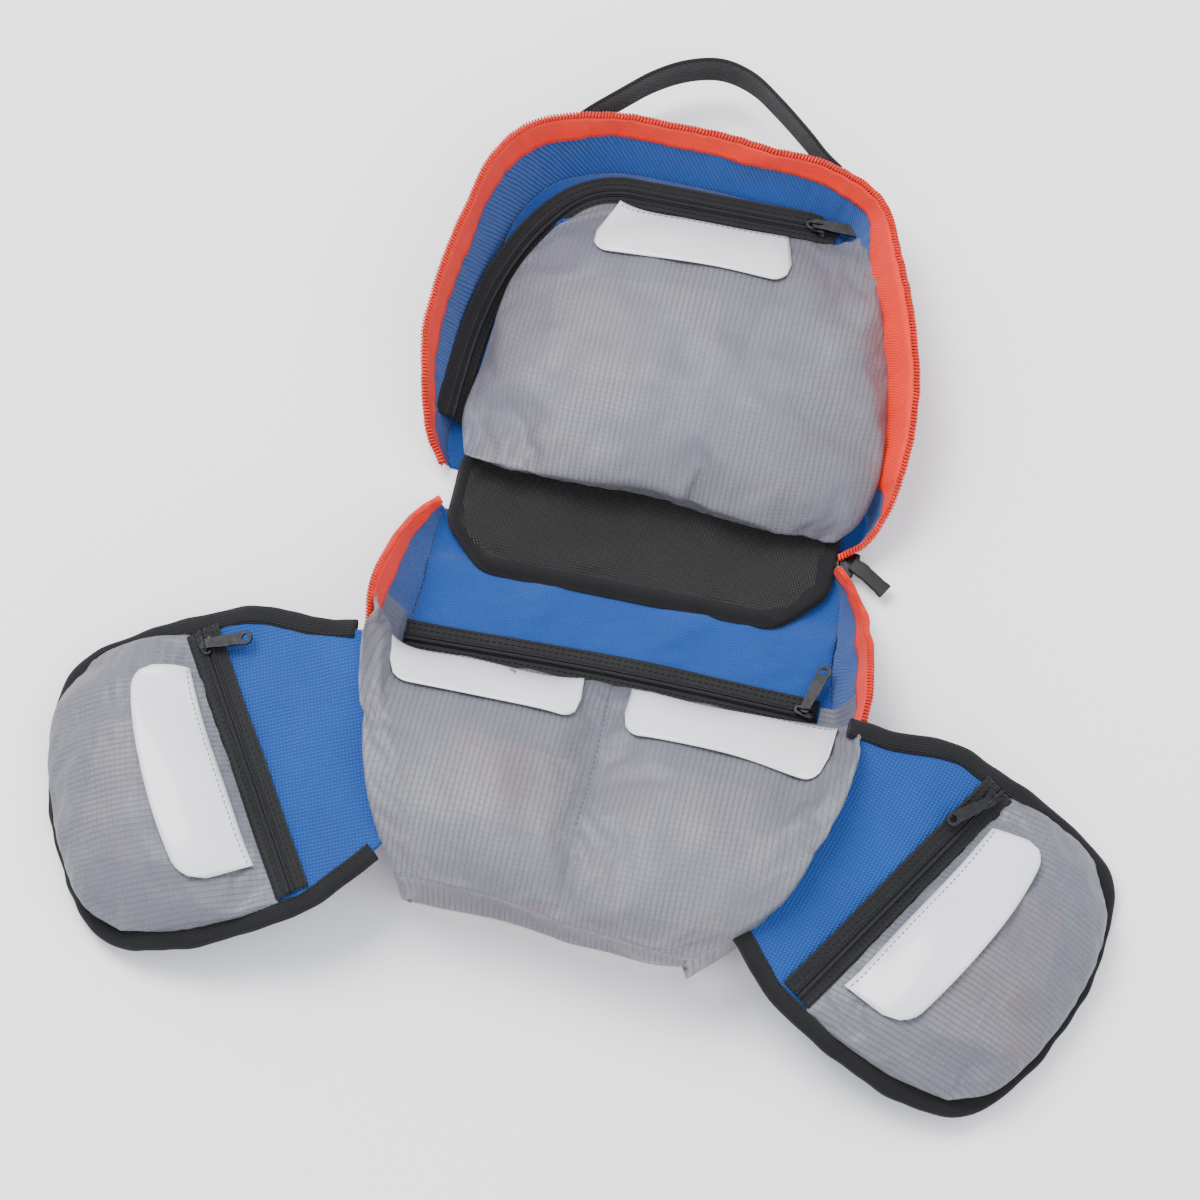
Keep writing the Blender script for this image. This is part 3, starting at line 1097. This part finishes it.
def wing_tip(name, side, seed):
    """A wing's panel, binding, zip, pocket, window and root strip. name is also its body's."""
    w_axis = wing_axes(side)[2]
    edge_line = curve(np.column_stack([WING_EDGE, np.zeros(len(WING_EDGE))]), 220)
    inset = beside(edge_line, -4.0)[edge_line[:, 0] > 6.5]
    cloth = fill(beside(edge_line, -4.4), 60)
    covered = (6 if side < 0 else 15) - 3 * ease((cloth[..., 1] - 4) / 20)
    cloth[..., 0] = np.maximum(cloth[..., 0], covered)
    cloth[..., 2] = 0.5 + 0.35 * relief(cloth[..., 0], cloth[..., 1], 34, seed)
    sheet(f"{name}_cloth", on_wing(cloth, side), wing_blue, 1.4, "stretched", name, "blue_fabric",
          [f"{name}_panel"], up=w_axis, flat=cloth[..., :2])
    inset[:, 2] = 0.5 * relief(inset[:, 0], inset[:, 1], 28, seed + 1)
    waver = relief(inset[:, 0], inset[:, 1], 17, seed + 2)[:, None]
    inset[:, :2] += 0.35 * directions(inset)[:, 1::-1] * waver
    tube(f"{name}_edge_binding", on_wing(inset, side), oval(8.6, 3.4, 14, 0.7), binding_black, name,
         [f"{name}_binding"], up=w_axis)
    seam = beside(edge_line, -6.8)[edge_line[:, 0] > 8]
    seam[:, 2] = 2.0
    stitches(f"{name}_binding_stitches", on_wing(seam, side), w_axis, thread_black, name)
    run = np.array([(45.0, -84.0, 1.5), (75.0, 32.0, 1.5)])
    along = (run[1] - run[0]) / np.linalg.norm(run[1] - run[0])
    # The tapes run on past the slider's way: 2 mm at its start and 3 mm at its end.
    line = np.linspace(run[0] - along * 2, run[1] + along * 3, 70)
    pocket_zip(f"{name}_zip", on_wing(line, side), w_axis, name)
    stop = run[1] - along * 5.25
    aim = math.atan2(along[1], along[0]) + math.radians(108 if side < 0 else 162)
    slider_set(f"{name}_zip", on_wing(stop, side), along @ wing_axes(side),
               np.array([math.cos(aim), math.sin(aim), 0]) @ wing_axes(side), w_axis)
    mouth = [(50.5, -89.5, 1.4), (59, -56, 1.4), (66, -28, 1.4), (73.6, 2, 1.4), (81.5, 35, 1.4)]
    tip = [(119, -89, 5), (133.5, -76, 9), (142, -50, 10), (145, -18, 10), (140, 10, 9), (124, 31, 5)]
    low = [(50.5, -89.5, 1.4), (70, -92.5, 2.5), (95, -93, 3), (119, -89, 5)]
    high = [(81.5, 35, 1.4), (95, 36, 2.5), (110, 35, 3), (124, 31, 5)]
    rows, columns = 42, 60
    patch = puffed(spanned(mouth, tip, low, high, rows, columns), 14.5, 0.85, 0.6)
    a = grid_shares(rows, columns)[0]
    x, y = patch[..., 0], patch[..., 1]
    patch[..., 2] += (0.7 * relief(x, y, 24, seed + 3) + 0.3 * relief(x * 2, y, 9, seed + 4)) * np.sin(
        np.pi * a) ** 0.4
    drop = np.zeros((columns, 3))
    drop[:, 0], drop[:, 2] = -7, -(patch[-1, :, 2] - 1.8)
    patch = skirted(patch, drop, None, 5)
    flat = patch[..., 1::-1].copy()
    grid = on_wing(patch, side)
    sewn = sewn_edges(grid)
    sewn[rows - 1] = True
    grid = slackened(f"{name}_pocket", grid, sewn, 0.045, 3.0, cap=6.0)
    soft = [sheet(f"{name}_pocket_cloth", grid, pocket_cloth, 0.5, "gathered", name, "ripstop",
                  [f"{name}_pocket"], rests_on=[f"{name}_cloth"], levels=1, up=w_axis, flat=flat)]
    soft += label(f"{name}_window", grid, (0.035, 0.35, 0.14, 0.86), name, [f"{name}_label"],
                  [f"{name}_pocket_cloth"], up=w_axis)
    for piece in soft:
        tuple(
            on_wing((75, -30, 1.5), side) * MM)
        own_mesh(piece)
    foot_v = np.linspace(-58, -12, 30)
    top = on_wing(np.column_stack([0 * foot_v + 6, foot_v, 0 * foot_v - 3.5]), side)
    rim_side = base_rim[base_rim[:, 0] * side > 0]
    rim_side = rim_side[np.argsort(rim_side[:, 1])]
    foot = top.copy()
    foot[:, 0] = np.interp(top[:, 1], rim_side[:, 1], rim_side[:, 0]) - side * 15
    foot[:, 2] = 10
    root = np.stack([foot * (1 - s) + top * s for s in np.linspace(0, 1, 6)])
    sheet(f"{name}_root_cloth", root, wing_blue, 0.9, "stretched", "base", "blue_fabric",
          [f"{name}_root"], up=None)


wing_tip("left_wing", -1, 101)
wing_tip("right_wing", 1, 131)

# %% [markdown]
# The packets in the pockets are soft boxes, each a little crumpled in its own way. They
# differ only in size, place and wrapper, so a table lists them and one loop makes them.
# Those on the wings are placed in the wing's own directions.

# %% Supplies in the pockets
def pack(name, centre, size, turn, finish, body, stands_for, side, seed):
    """A soft packet: a boxy oval carried along its length, which closes at both ends as
    the fourth root of 1 - s^8, with crumpled faces. side is a wing's, or 0 on a tray."""
    s = np.sin(np.linspace(-np.pi / 2, np.pi / 2, 26))
    ring = oval(1, 1, 36, 0.4)
    shrink = np.sqrt(np.sqrt(np.clip(1 - s**8, 0, 1)))[:, None]
    x = np.broadcast_to(s[:, None] * size[0] / 2, (26, 36))
    y = ring[None, :, 0] * size[1] * (0.75 + 0.25 * shrink)
    z = ring[None, :, 1] * size[2] * shrink + 0.4 * relief(x, y, 16, seed)
    c, n = math.cos(math.radians(turn)), math.sin(math.radians(turn))
    grid = np.stack([centre[0] + c * x - n * y, centre[1] + n * x + c * y, centre[2] + z], axis=-1)
    grid = closed_ends(grid)
    grid = on_wing(grid, side) if side else grid
    obj = grid_object(name, grid, finish, up=None, wrap_columns=True)
    return hang(obj, body, stands_for)


SUPPLIES = (
    ("bandage_roll", (-36, -142, 19), (62, 46, 24), 4, wrap_teal, "base", "blue_packets",
     "bandage_roll_pack"),
    ("gauze_wraps", (-30, -136, 36), (56, 34, 5), -6, wrap_red, "base", "red_packets", "gauze_pack"),
    ("dressing_box", (38, -142, 19), (66, 62, 24), -3, wrap_paper, "base", "paper", "dressing_pack"),
    ("folded_guide", (-22, 84, 14), (72, 48, 4), 6, wrap_pink, "lid", "paper", "guide_booklet"),
    ("wipe_wraps", (50, 80, 16), (48, 50, 5), -12, wrap_teal, "lid", "blue_packets", "wipe_packs"),
    ("left_wing_wraps", (109, -30, 5), (42, 60, 4), 14, wrap_pink, "left_wing", "red_packets",
     "left_wing_packs"),
    ("right_wing_wraps", (110, -32, 5), (44, 66, 4), 14, wrap_red, "right_wing", "red_packets",
     "right_wing_packs"),
)
WING_SIDES = {"left_wing": -1, "right_wing": 1}
for seed, (name, centre, size, turn, finish, body, slot, node) in enumerate(SUPPLIES, 3):
    pack(name, centre, size, turn, finish, body, [node], WING_SIDES.get(body, 0), seed)

# %% [markdown]
# The handle is a loop of webbing. Its ends are sewn flat against the lid's far wall and
# it stands on edge between them. The rest of the loop swings, so the cloth near the
# ends bends from the lid to the handle's body.

# %% Handle
strap_line = curve([
    (-69, 174, 17), (-62, 181, 19), (-51, 190, 22), (-38, 201, 24), (-24, 209.5, 24), (-9, 213, 24),
    (6, 209, 24), (20, 199, 24), (34, 188, 22), (44, 180, 19), (52, 175, 17),
], 120)
strap_grid = np.stack([strap_line + (0, 0, h) for h in np.linspace(-9.5, 9.5, 12)])
strap_grid[..., 1] += 0.6 * np.cos(np.linspace(-1, 1, 12) * 2.2)[:, None]
sheet("carry_strap", strap_grid, webbing_black, 1.9, "stretched",
      ("lid", "handle", (0, 176, 0), (0, 192, 0)), "webbing",
      ["handle_strap", "handle_anchor_left", "handle_anchor_right"], rests_on=["lid_wall"], up=None,
      levels=1)

# %% [markdown]
# The big zip's slider waits at its end, over the spine. It is the pocket zips' slider
# drawn larger, and it has a flat cord tab, fused at its end, in place of a metal pull.

# %% Main slider and its cord tab
a = np.linspace(-np.pi / 2, np.pi / 2, 9)
nose = np.column_stack([-3 - 2.6 * np.cos(a), 2.8 * np.sin(a)])
tail = [(1.5, 4.2), (5.0, 4.4), (5.6, 3.6), (5.6, -3.6), (5.0, -4.4), (1.5, -4.2)]
body_line = np.vstack([nose, tail])
for part, low, high in (("top", 3.0, 4.4), ("bottom", 0.3, 1.2)):
    plate = placed(slab(body_line, low, high), (88.3, 0, 1.5), (0, 1, 0), (0, 0, 1))
    metal_piece(f"main_slider_{part}", plate, "spine", ["main_slider"], wrap_columns=True)
tab_line = curve([(90, 0, 7), (95, -2.5, 7.2), (101, -6, 6.2), (106, -9, 5.2)], 40)
tab_width = 6.2 + 0.6 * ease(np.linspace(0, 3, 40)) + 0.3 * relief(np.arange(40), np.zeros(40), 12, 5)
profile = oval(1.0, 2.2, 14, 0.6)[None] * np.stack([tab_width, np.ones(40)], axis=-1)[:, None]
tube("pull_tab", tab_line, profile, cord_black, "main_pull", ["main_pull"])

# %% [markdown]
# The bag lies on a plain pale table under two large soft lamps and a bright sky, so its
# shadows stay light and the black pieces keep their detail.

# %% Floor and light
def floor_sheet():
    """A level square two metres wide, just under the bag."""
    x, y = np.meshgrid(np.linspace(-1000, 1000, 3), np.linspace(-1000, 1000, 3))
    finish = plain("floor_paint", (250, 250, 250), (253, 253, 253), 300.0, 0.85, 0.0)
    return grid_object("floor", np.stack([x, y, 0 * x - 0.3], axis=-1), finish)


def lamp(name, place, size, power):
    """A square soft light that looks at the bag."""
    light = bpy.data.lights.new(name, "AREA")
    light.size, light.energy = size, power
    obj = bpy.data.objects.new(name, light)
    obj.location = place
    obj.rotation_euler = Vector(place).to_track_quat("Z", "Y").to_euler()
    bpy.context.scene.collection.objects.link(obj)
    return obj


stage = [floor_sheet(), lamp("key", (-0.7, 0.5, 1.6), 1.0, 46), lamp("soft", (0.9, -0.7, 1.5), 1.6, 17)]
world = bpy.data.worlds.new("studio")
world.use_nodes = True
world.node_tree.nodes["Background"].inputs["Color"].default_value = (0.9, 0.93, 1.0, 1.0)
world.node_tree.nodes["Background"].inputs["Strength"].default_value = 1.25
bpy.context.scene.world = world
